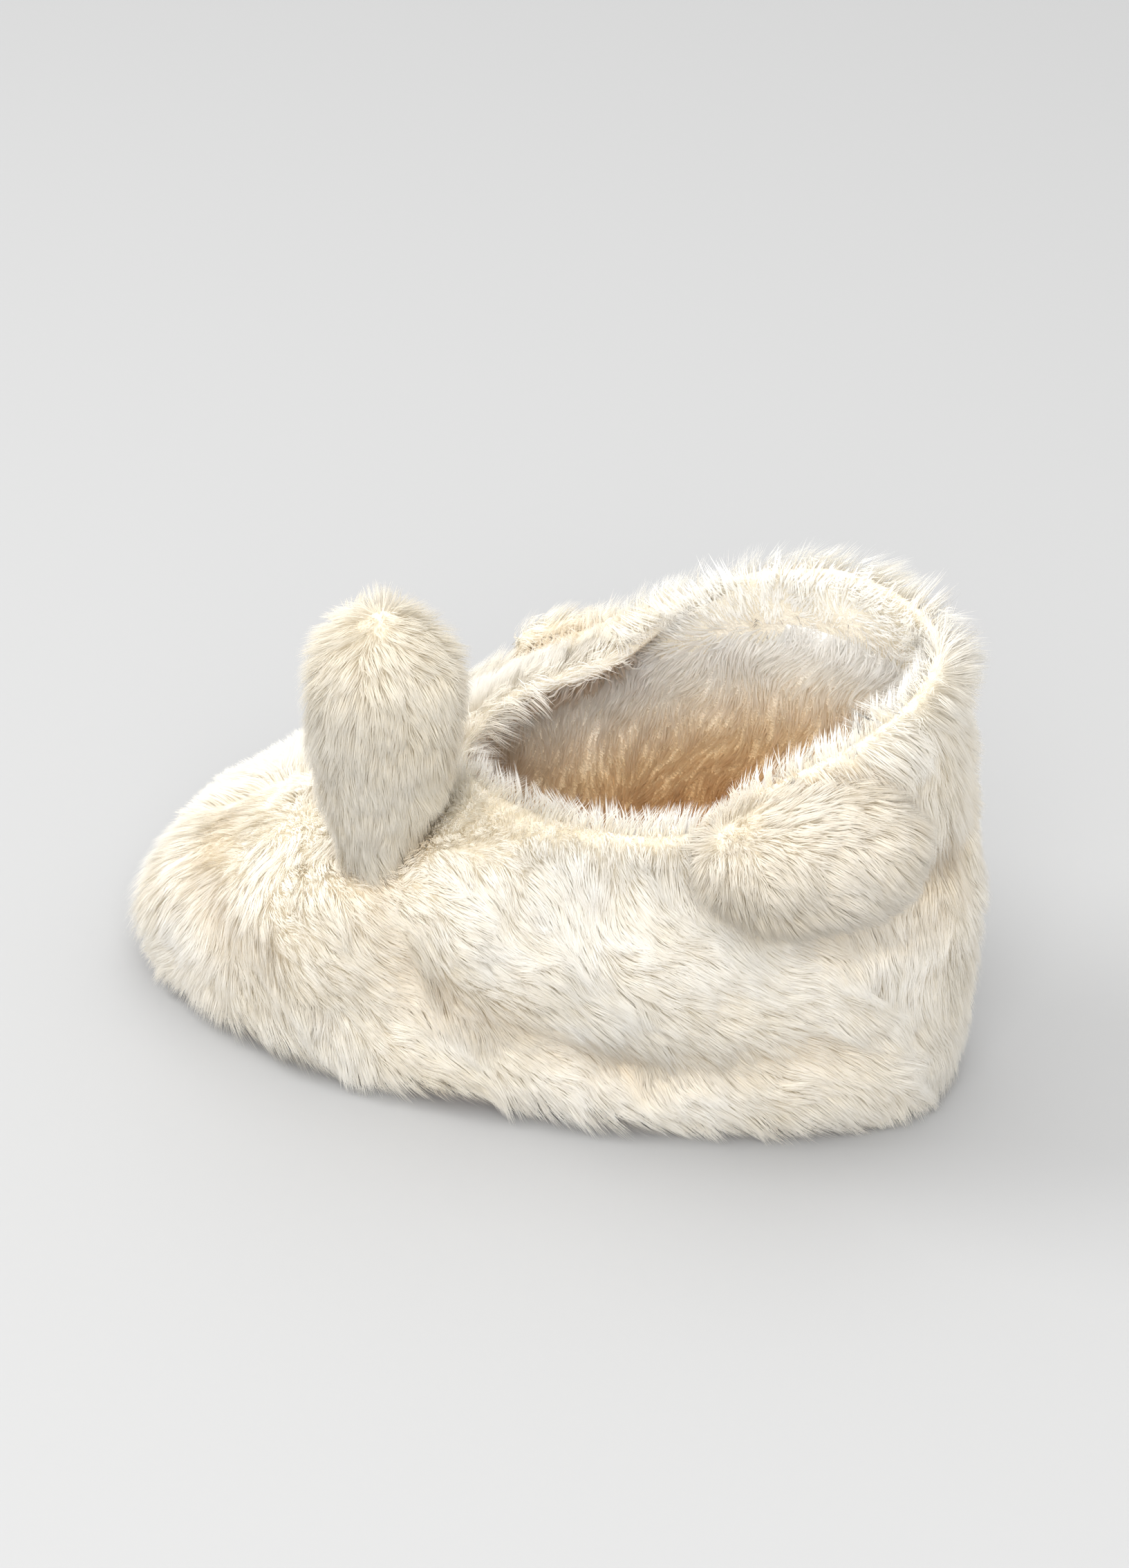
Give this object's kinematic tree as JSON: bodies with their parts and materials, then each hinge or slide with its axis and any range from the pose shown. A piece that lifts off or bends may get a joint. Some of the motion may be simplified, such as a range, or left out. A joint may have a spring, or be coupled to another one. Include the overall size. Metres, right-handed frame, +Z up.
{
  "type": "animal slipper",
  "caption": "Plush animal slipper with a padded fur upper open at the collar, a standing ear and a lying ear at the instep, an oval tail at the heel and a soft suede sole.",
  "frame": {"origin": "the centre of the bottom face of the bounding box, on the floor", "axes": "+Y to the toe, +Z up, -X to the outer side of this left shoe"},
  "size_m": [0.1096, 0.1984, 0.1188],
  "materials": {
    "cream_fur": "deep plush pile",
    "ear_fur": "plush pile",
    "tail_fur": "plush pile",
    "pink_suede": "soft suede nap",
    "tan_fleece": "brushed fleece"
  },
  "bodies": {
    "root": {"upper": "cream_fur", "ear_left": "ear_fur", "ear_right": "ear_fur", "tail": "tail_fur", "outsole": "pink_suede", "insole": "tan_fleece"}
  },
  "joints": []
}
